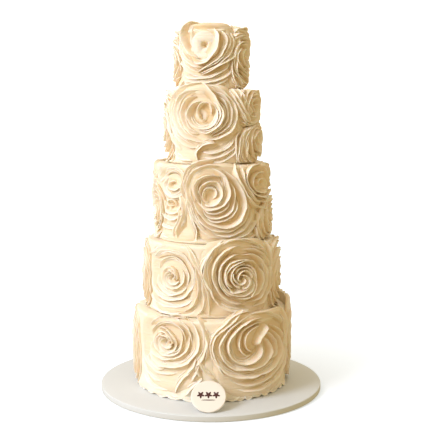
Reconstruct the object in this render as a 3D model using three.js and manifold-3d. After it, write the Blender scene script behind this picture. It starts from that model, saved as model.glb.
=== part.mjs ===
// A five-tier wedding cake on its round board, dressed with large piped buttercream roses.
// Each tier is a plain iced drum. Each rose is one closed solid that lies on the drum's wall:
// its petals are ridges that wind outwards from the rose's eye. Neighbouring roses press
// against each other, so two of them meet along the common chord of their circles.
// Units are millimetres, +Z is up and the origin is the middle of the board's underside.

import * as THREE from "three";
import { mergeVertices } from "three/addons/utils/BufferGeometryUtils.js";
import Module from "manifold-3d";

const wasm = await Module();
wasm.setup();

// Driving dimensions.
const BOARD = { radius: 178, thickness: 9, edge: 1 };
const CONTACT = 0.3; // space kept between two pieces that touch
const LIP = 4; // radius of the icing's rounded top edge
const TIERS = [
  { radius: 120, height: 124.5 },
  { radius: 102, height: 110.5 },
  { radius: 86.5, height: 119.5 },
  { radius: 69, height: 113.5 },
  { radius: 51, height: 92 },
];
const PETAL_RISE = 8; // how far the petals' edges stand out of the icing
const VALLEY_RISE = 3.6; // how far the dips between the petals stand out of it
const RIM_RISE = 2.4; // thickness of a rose at its outline
const EYE_RISE = 2; // thickness at the bottom of the eye
const PLAQUE = { diameter: 52, thickness: 3, foot: 165, side: -3.6, lean: 47 };

// Fineness of the faceted solids.
const DRUM_SIDES = 48;
const LIP_STEPS = 2;
const PLAQUE_SIDES = 32;
const ROOT_DEPTH = 2; // how far a rose reaches into the drum before the drum is cut away
const FOLD_STEPS = 10;
const CREST_SHARE = 0.7; // where a petal's edge stands between its dip and the next dip

const TURN = { left: 1, right: -1 }; // anticlockwise or clockwise, from the eye outwards

// The roses of each tier. angle: degrees round the tier from the front, towards +X;
// height: of the eye above the tier's foot; radius: of the rose's circle; turn: the way it
// winds; drift: how far the circle's middle lies from the eye, along the wall and up;
// over: how far the petals may stand above the tier's top edge.
const ROSES = [
  [
    { angle: -34, height: 92, radius: 66, turn: "left", drift: [-2, -18], over: 2 },
    { angle: 34, height: 81, radius: 76, turn: "right", drift: [12, -9], over: 10 },
    { angle: 102, height: 86, radius: 64, turn: "left", drift: [4, -14], over: 16 },
    { angle: 158, height: 60, radius: 66, turn: "right", drift: [0, 2], over: 4 },
    { angle: -150, height: 76, radius: 66, turn: "left", drift: [0, -10], over: 8 },
    { angle: -97, height: 64, radius: 66, turn: "right", drift: [0, -4], over: 0 },
  ],
  [
    { angle: -35, height: 62, radius: 60, turn: "left", drift: [-2, -6], over: 0 },
    { angle: 26, height: 61, radius: 58, turn: "right", drift: [3, -4], over: 11 },
    { angle: 87, height: 58, radius: 58, turn: "left", drift: [0, -2], over: 3 },
    { angle: 146, height: 52, radius: 60, turn: "right", drift: [0, 2], over: 4 },
    { angle: -154, height: 60, radius: 60, turn: "left", drift: [0, -4], over: 6 },
    { angle: -95, height: 54, radius: 60, turn: "right", drift: [0, 0], over: 0 },
  ],
  [
    { angle: 0, height: 73, radius: 61, turn: "left", drift: [17, -11], over: 5 },
    { angle: 51, height: 92, radius: 42, turn: "left", drift: [2, 0], over: 0 },
    { angle: 83, height: 38, radius: 46, turn: "right", drift: [-2, -4], over: 0 },
    { angle: 126, height: 72, radius: 54, turn: "left", drift: [0, -12], over: 6 },
    { angle: -176, height: 60, radius: 62, turn: "right", drift: [0, -2], over: 4 },
    { angle: -117, height: 64, radius: 60, turn: "left", drift: [0, -6], over: 4 },
    { angle: -74, height: 48, radius: 44, turn: "right", drift: [0, 2], over: 0 },
    { angle: -43, height: 92, radius: 36, turn: "left", drift: [-4, 0], over: 0 },
    { angle: -40, height: 56, radius: 42, turn: "right", drift: [2, -22], over: 0 },
  ],
  [
    { angle: -12, height: 74, radius: 64, turn: "left", drift: [0, -14], over: 8 },
    { angle: 61, height: 84, radius: 38, turn: "right", drift: [2, 2], over: 0 },
    { angle: 72, height: 42, radius: 42, turn: "left", drift: [-2, -14], over: 0 },
    { angle: 127, height: 62, radius: 54, turn: "right", drift: [0, -8], over: 4 },
    { angle: -160, height: 56, radius: 60, turn: "left", drift: [0, -2], over: 6 },
    { angle: -88, height: 60, radius: 56, turn: "right", drift: [0, -6], over: 0 },
  ],
  [
    { angle: -10, height: 66, radius: 56, turn: "left", drift: [0, -16], over: 8 },
    { angle: 68, height: 56, radius: 48, turn: "left", drift: [0, -14], over: 2 },
    { angle: 142, height: 52, radius: 50, turn: "right", drift: [0, -8], over: 12 },
    { angle: -150, height: 50, radius: 50, turn: "left", drift: [0, -8], over: 12 },
    { angle: -90, height: 46, radius: 46, turn: "right", drift: [0, -4], over: 2 },
  ],
];

// Long single petals laid on the wall where the roses leave it bare. Each is a ridge along
// a curve from one place to another, drawn towards a third. tier: counted from the bottom;
// places: degrees round the tier and height above its foot; width and rise: of the ridge.
const FOLDS = [
  { tier: 1, from: [1, 106], towards: [-4, 58], to: [-2, 2], width: 10, rise: 6.5 },
  { tier: 2, from: [-5, 26], towards: [-4, 12], to: [4, 2], width: 8, rise: 4.5 },
];

const ICING = { color: 0xf6e9d2, roughness: 0.55, metalness: 0 };
const BOARD_FINISH = { color: 0xefe7da, roughness: 0.6, metalness: 0 };
const PLAQUE_FINISH = { color: 0xefe0cb, roughness: 0.4, metalness: 0 };

const radians = THREE.MathUtils.degToRad;
const cake = new THREE.Group();

function addMesh(name, geometry, finish) {
  const mesh = new THREE.Mesh(geometry, new THREE.MeshStandardMaterial(finish));
  mesh.name = name;
  cake.add(mesh);
  return mesh;
}

// A solid of revolution about +Z. The profile runs from the axis at the bottom to the axis
// at the top, as [radius, height] pairs.
function drum(profile, sides) {
  const points = profile.map(([radius, height]) => new THREE.Vector2(radius, height));
  return new THREE.LatheGeometry(points, sides).rotateX(Math.PI / 2);
}

// A closed geometry as a solid that can be cut.
function solidOf(geometry) {
  const bare = new THREE.BufferGeometry();
  bare.setAttribute("position", geometry.getAttribute("position"));
  bare.setIndex(geometry.getIndex());
  const merged = mergeVertices(bare);
  const mesh = new wasm.Mesh({
    numProp: 3,
    vertProperties: new Float32Array(merged.getAttribute("position").array),
    triVerts: new Uint32Array(merged.getIndex().array),
  });
  return new wasm.Manifold(mesh);
}

function geometryOf(solid) {
  const mesh = solid.getMesh();
  const geometry = new THREE.BufferGeometry();
  geometry.setAttribute("position", new THREE.BufferAttribute(mesh.vertProperties, 3));
  geometry.setIndex(new THREE.BufferAttribute(mesh.triVerts, 1));
  geometry.computeVertexNormals();
  return geometry;
}

// The board is a flat disc whose two edges are slightly broken.
function boardShape() {
  const { radius, thickness, edge } = BOARD;
  const profile = [
    [0, 0],
    [radius - edge, 0],
    [radius, edge],
    [radius, thickness - edge],
    [radius - edge, thickness],
    [0, thickness],
  ];
  return drum(profile, DRUM_SIDES);
}

// A tier stands on the one below. Its top edge is rounded as a quarter circle.
function tierShape({ radius, height }, foot) {
  const bottom = foot + CONTACT;
  const top = foot + height;
  const profile = [
    [0, bottom],
    [radius, bottom],
  ];
  for (let step = 0; step <= LIP_STEPS; step++) {
    const turn = (step / LIP_STEPS) * (Math.PI / 2);
    profile.push([radius - LIP + LIP * Math.cos(turn), top - LIP + LIP * Math.sin(turn)]);
  }
  profile.push([0, top]);
  return drum(profile, DRUM_SIDES);
}

// A place on a tier's wall, from its angle round the tier, its height and how far it stands
// out of the wall.
function wallPoint(tier, angle, height, out) {
  const radius = tier.radius + out;
  return [radius * Math.sin(angle), -radius * Math.cos(angle), height];
}

function closedGeometry(positions, triangles) {
  const geometry = new THREE.BufferGeometry();
  geometry.setAttribute("position", new THREE.Float32BufferAttribute(positions, 3));
  geometry.setIndex(triangles);
  return geometry;
}

// Distance from a rose's eye to the common chord of its circle and another's, in the
// direction [x, y]. It is endless where the direction leads away from the chord.
function chordDistance(rose, other, [x, y], radius) {
  const turn = ((other.angle - rose.angle + 540) % 360) - 180;
  const own = rose.drift;
  const next = [
    radians(turn) * radius + other.drift[0],
    other.height - rose.height + other.drift[1],
  ];
  const across = next[0] - own[0];
  const up = next[1] - own[1];
  const facing = across * x + up * y;
  if (facing <= 0) return Infinity;
  const power = (at, size) => at[0] ** 2 + at[1] ** 2 - size ** 2;
  const middle = (power(next, other.radius) - power(own, rose.radius)) / 2;
  return (middle - CONTACT * Math.hypot(across, up)) / facing;
}

// Distance from the eye to the rose's own circle, whose middle has drifted.
function circleDistance({ radius, drift }, [x, y]) {
  const along = drift[0] * x + drift[1] * y;
  const off = drift[0] ** 2 + drift[1] ** 2;
  return along + Math.sqrt(along ** 2 - off + radius ** 2);
}

// The outline in one direction: the least of the circle, the chords with the neighbours and
// the tier's two edges, blended by a power mean so that the corners come out round.
function outlineDistance(rose, others, tier, direction) {
  const limits = others.map((other) => chordDistance(rose, other, direction, tier.radius));
  limits.push(circleDistance(rose, direction));
  if (direction[1] > 0) limits.push((tier.height + rose.over - rose.height) / direction[1]);
  if (direction[1] < 0) limits.push((CONTACT * 3 - rose.height) / direction[1]);
  const sharpness = 14;
  const sum = limits.reduce((total, limit) => total + limit ** -sharpness, 0);
  return sum ** (-1 / sharpness);
}

// How far the rose's front stands out of the icing, share of the way from eye to outline,
// on a petal's edge or in the dip inside it.
function frontRise(share, onEdge) {
  const body = onEdge ? PETAL_RISE : VALLEY_RISE;
  const eye = Math.min(1, share / 0.18);
  const rim = Math.min(1, (1 - share) / 0.12);
  const raised = RIM_RISE + (body - RIM_RISE) * rim;
  return EYE_RISE + (raised - EYE_RISE) * eye;
}

// One rose as a closed solid. Columns run outwards from the eye. The rows of the front
// follow the petals, which are spirals: after a whole turn a row has moved out by as many
// petals as the rose has arms, so row r ends where row r + 2 * arms begins.
function roseShape(rose, others, tier, foot) {
  const columns = rose.radius > 50 ? 14 : 12;
  const arms = rose.radius > 50 ? 2 : 1;
  const petals = Math.round(rose.radius / 12.5);
  const positions = [];
  const triangles = [];

  const directions = [];
  const reach = [];
  for (let column = 0; column < columns; column++) {
    const turn = (column / columns) * 2 * Math.PI * TURN[rose.turn];
    directions.push([Math.cos(turn), Math.sin(turn)]);
    reach.push(outlineDistance(rose, others, tier, directions[column]));
  }

  // A point at a share of the way to the outline, standing out of the drum's wall.
  function point(column, share, out) {
    const [x, y] = directions[column];
    const angle = radians(rose.angle) + (share * reach[column] * x) / tier.radius;
    const height = foot + rose.height + share * reach[column] * y;
    positions.push(...wallPoint(tier, angle, height, out));
    return positions.length / 3 - 1;
  }

  const frontEye = point(0, 0, EYE_RISE);
  const backEye = point(0, 0, -ROOT_DEPTH);
  const frontRim = directions.map((_, column) => point(column, 1, RIM_RISE));
  const backRim = directions.map((_, column) => point(column, 1, -ROOT_DEPTH));

  // Vertices of the front are made once for each column and row between eye and rim.
  const made = new Map();
  function frontVertex(column, row) {
    const wrapped = column === columns;
    const at = wrapped ? 0 : column;
    const line = wrapped ? row + 2 * arms : row;
    const onEdge = ((line % 2) + 2) % 2 === 1;
    const petal = Math.floor(line / 2) + (onEdge ? CREST_SHARE : 0);
    const share = (petal + (arms * at) / columns) / petals;
    if (share <= 0) return frontEye;
    if (share >= 1) return frontRim[at];
    const key = `${at} ${line}`;
    if (!made.has(key)) made.set(key, point(at, share, frontRise(share, onEdge)));
    return made.get(key);
  }

  function addTriangle(a, b, c) {
    if (a === b || b === c || a === c) return;
    if (rose.turn === "left") triangles.push(a, b, c);
    else triangles.push(a, c, b);
  }
  function addQuad(a, b, c, d) {
    addTriangle(a, b, c);
    addTriangle(a, c, d);
  }

  for (let row = -2 * arms - 2; row <= 2 * petals; row++) {
    for (let column = 0; column < columns; column++) {
      addQuad(
        frontVertex(column, row),
        frontVertex(column, row + 1),
        frontVertex(column + 1, row + 1),
        frontVertex(column + 1, row),
      );
    }
  }

  for (let column = 0; column < columns; column++) {
    const next = (column + 1) % columns;
    addTriangle(backEye, backRim[next], backRim[column]);
    addQuad(backRim[column], backRim[next], frontRim[next], frontRim[column]);
  }

  return closedGeometry(positions, triangles);
}

// One long petal as a closed ridge. Each station across the curve has a left foot, a crest
// and a right foot, and the ridge narrows to a point at both ends.
function foldShape({ from, towards, to, width, rise }, tier, foot) {
  const flat = ([angle, height]) => new THREE.Vector2(radians(angle) * tier.radius, height);
  const curve = new THREE.QuadraticBezierCurve(flat(from), flat(towards), flat(to));
  const positions = [];
  const triangles = [];
  function point(place, out) {
    positions.push(...wallPoint(tier, place.x / tier.radius, foot + place.y, out));
    return positions.length / 3 - 1;
  }
  const start = point(curve.getPoint(0), -ROOT_DEPTH);
  const end = point(curve.getPoint(1), -ROOT_DEPTH);
  let before = [start, start, start];
  for (let step = 1; step <= FOLD_STEPS; step++) {
    const along = step / FOLD_STEPS;
    const middle = curve.getPoint(along);
    const tangent = curve.getTangent(along);
    const fullness = Math.sqrt(Math.sin(along * Math.PI));
    const reach = (fullness * width) / 2;
    const side = new THREE.Vector2(-tangent.y, tangent.x).multiplyScalar(reach);
    const crest = (ROOT_DEPTH + rise) * fullness - ROOT_DEPTH;
    const after =
      step === FOLD_STEPS
        ? [end, end, end]
        : [
            point(middle.clone().add(side), -ROOT_DEPTH),
            point(middle, crest),
            point(middle.clone().sub(side), -ROOT_DEPTH),
          ];
    for (let edge = 0; edge < 3; edge++) {
      const next = (edge + 1) % 3;
      const quad = [before[edge], before[next], after[next], after[edge]];
      for (const corners of [[0, 1, 2], [0, 2, 3]]) {
        const [a, b, c] = corners.map((corner) => quad[corner]);
        if (a !== b && b !== c && a !== c) triangles.push(a, b, c);
      }
    }
    before = after;
  }
  return closedGeometry(positions, triangles);
}

// A rose is cut back to the drum it lies on, which leaves the contact space between them.
function fitToTier(geometry, tier, foot) {
  const radius = tier.radius + CONTACT;
  const low = foot - tier.height;
  const high = foot + 2 * tier.height;
  const profile = [
    [0, low],
    [radius, low],
    [radius, high],
    [0, high],
  ];
  return geometryOf(solidOf(geometry).subtract(solidOf(drum(profile, DRUM_SIDES))));
}

// The round plaque leans back on the lowest tier with its foot on the board.
function placePlaque(mesh) {
  const { diameter, thickness, foot, side, lean } = PLAQUE;
  const tilt = radians(lean);
  const middle = diameter / 2;
  const lift = (thickness / 2) * Math.sin(tilt) + middle * Math.cos(tilt) + CONTACT;
  const back = middle * Math.sin(tilt) - (thickness / 2) * Math.cos(tilt);
  mesh.rotation.x = -tilt;
  mesh.position.set(side, -foot + back, BOARD.thickness + lift);
}

addMesh("board", boardShape(), BOARD_FINISH);

let foot = BOARD.thickness;
TIERS.forEach((tier, index) => {
  const level = index + 1;
  addMesh(`tier_${level}`, tierShape(tier, foot), ICING);
  ROSES[index].forEach((rose, place, all) => {
    const others = all.filter((other) => other !== rose);
    const piped = roseShape(rose, others, tier, foot);
    addMesh(`rose_${level}_${place + 1}`, fitToTier(piped, tier, foot), ICING);
  });
  FOLDS.filter((fold) => fold.tier === level).forEach((fold) => {
    addMesh(`fold_${level}`, fitToTier(foldShape(fold, tier, foot), tier, foot), ICING);
  });
  foot += tier.height;
});

const disc = new THREE.CylinderGeometry(
  PLAQUE.diameter / 2,
  PLAQUE.diameter / 2,
  PLAQUE.thickness,
  PLAQUE_SIDES,
);
placePlaque(addMesh("plaque", disc, PLAQUE_FINISH));

export default cake;
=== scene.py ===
import math

import bpy
import numpy as np
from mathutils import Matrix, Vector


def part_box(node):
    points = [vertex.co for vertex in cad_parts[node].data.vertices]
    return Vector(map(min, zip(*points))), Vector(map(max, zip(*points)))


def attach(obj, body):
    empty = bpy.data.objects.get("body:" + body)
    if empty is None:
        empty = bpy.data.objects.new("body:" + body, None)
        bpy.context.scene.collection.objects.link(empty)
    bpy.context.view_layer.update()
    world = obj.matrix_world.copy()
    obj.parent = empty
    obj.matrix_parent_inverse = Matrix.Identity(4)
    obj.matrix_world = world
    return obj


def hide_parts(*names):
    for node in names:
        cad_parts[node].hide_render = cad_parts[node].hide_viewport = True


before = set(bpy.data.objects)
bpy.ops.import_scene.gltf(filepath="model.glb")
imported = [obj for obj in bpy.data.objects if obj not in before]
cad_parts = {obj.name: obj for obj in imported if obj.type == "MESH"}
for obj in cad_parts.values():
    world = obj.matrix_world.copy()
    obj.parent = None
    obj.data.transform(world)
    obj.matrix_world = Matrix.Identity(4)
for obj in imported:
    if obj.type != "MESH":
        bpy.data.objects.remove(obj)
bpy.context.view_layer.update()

# The cake's shapes are worked out in millimetres and put into meshes in metres. The lights, the
# floor and the patterns of the finishes are in metres.
MM = 0.001

# Every random draw is seeded from SEED, and a petal's own seed lies below SEED_RANGE.
SEED = 11
SEED_RANGE = 1 << 30

# The camera: its frame, its lens and how far its view is shifted, in pixels, and where it stands
# in millimetres from the cake's axis and above the floor, looking down by CAMERA_DOWN.
FRAME_PIXELS = 430
FOCAL_PIXELS = 897.4
SHIFT_PIXELS = 4.1
CAMERA_DISTANCE = 1423.0
CAMERA_HEIGHT = 461.0
CAMERA_DOWN = math.radians(7.3)

LEVELS = 5


def tier_sizes(level):
    """A tier's radius, and the heights of its foot and its top, from the frame."""
    low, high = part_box(f"tier_{level}")
    return {"radius": high.x / MM, "foot": low.z / MM, "top": high.z / MM}


TIERS = [tier_sizes(level) for level in range(1, LEVELS + 1)]

# The piped roses, tier by tier, in millimetres. angle: degrees round the tier from the front,
# towards +X; height: of the eye above the tier's foot; radius: of the rose's circle; drift: from
# the eye to the circle's middle; over: how far petals stand above the tier's top; rise: share of
# the usual rise; lift: how far the whole rose stands farther out; bud: height of a low dome round
# the eye, the eye's opening in it and how far it reaches.
# Petals that wind out by rule also have turn: 1 winds anticlockwise outwards and -1 clockwise;
# arms: spirals that leave the eye; hole: how far from the eye they start; pitch: space between
# one petal's edge and the next; core: how far out they go where STROKES places the outer petals.
ROSES = [
    [
        dict(
            angle=-34, height=92, radius=60, turn=1, drift=(0, -14), over=2, arms=2, pitch=6,
            rise=0.6, core=13,
        ),
        dict(angle=30, height=81, radius=76, drift=(20, -9), over=10),
        dict(angle=102, height=86, radius=64, turn=1, drift=(4, -14), over=16, arms=3, rise=0.9, lift=3),
        dict(angle=158, height=60, radius=66, turn=-1, drift=(0, 2), over=4, arms=3),
        dict(angle=-150, height=76, radius=66, turn=1, drift=(0, -10), over=8, arms=4),
        dict(angle=-97, height=64, radius=66, turn=-1, drift=(0, -4), over=0, arms=3, lift=-2),
    ],
    [
        dict(
            angle=-35, height=62, radius=54, turn=1, drift=(-2, -6), over=3, arms=2, pitch=6,
            rise=0.45, core=10,
        ),
        dict(
            angle=26, height=61, radius=68, turn=-1, drift=(-4, -4), over=11, arms=3, hole=1.5,
            pitch=5.5, core=22,
        ),
        dict(angle=87, height=58, radius=58, turn=1, drift=(0, -2), over=3, arms=3, rise=0.9, lift=2),
        dict(angle=146, height=52, radius=60, turn=-1, drift=(0, 2), over=4, arms=2),
        dict(angle=-154, height=60, radius=60, turn=1, drift=(0, -4), over=6, arms=3),
        dict(angle=-95, height=54, radius=60, turn=-1, drift=(0, 0), over=0, arms=3, lift=-1),
    ],
    [
        dict(angle=-1, height=75, radius=61, drift=(18, -13), over=5),
        dict(angle=51, height=92, radius=42, drift=(2, 0), over=0, lift=3),
        dict(angle=83, height=38, radius=46, turn=-1, drift=(-2, -4), over=0, arms=2, rise=0.9, lift=4),
        dict(angle=126, height=72, radius=54, turn=1, drift=(0, -12), over=6, arms=3),
        dict(angle=-176, height=60, radius=62, turn=-1, drift=(0, -2), over=4, arms=3),
        dict(angle=-117, height=64, radius=60, turn=1, drift=(0, -6), over=4, arms=2),
        dict(angle=-74, height=48, radius=44, turn=-1, drift=(0, 2), over=0, arms=2, rise=0.7),
        dict(angle=-43, height=92, radius=36, drift=(-4, 0), over=0, rise=0.45),
        dict(angle=-43, height=60, radius=42, drift=(6, -26), over=0, rise=0.45),
    ],
    [
        dict(angle=-12, height=74, radius=64, drift=(0, -14), over=8, bud=(3.5, 1, 7)),
        dict(angle=61, height=84, radius=38, turn=-1, drift=(2, 2), over=0, arms=2, lift=3),
        dict(angle=72, height=42, radius=42, turn=1, drift=(-2, -14), over=0, arms=2, lift=4),
        dict(angle=127, height=62, radius=54, turn=-1, drift=(0, -8), over=4, arms=3),
        dict(angle=-160, height=56, radius=60, turn=1, drift=(0, -2), over=6, arms=3),
        dict(angle=-88, height=60, radius=56, turn=-1, drift=(0, -6), over=0, arms=3, lift=-3),
    ],
    [
        dict(angle=-10, height=66, radius=56, drift=(0, -16), over=8, bud=(7, 5, 19)),
        dict(angle=68, height=56, radius=48, turn=1, drift=(0, -14), over=2, arms=2, lift=2),
        dict(angle=142, height=52, radius=50, turn=-1, drift=(0, -8), over=12, arms=2),
        dict(angle=-150, height=50, radius=50, turn=1, drift=(0, -8), over=12, arms=2),
        dict(angle=-90, height=46, radius=46, turn=-1, drift=(0, -4), over=2, arms=2),
    ],
]

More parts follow.
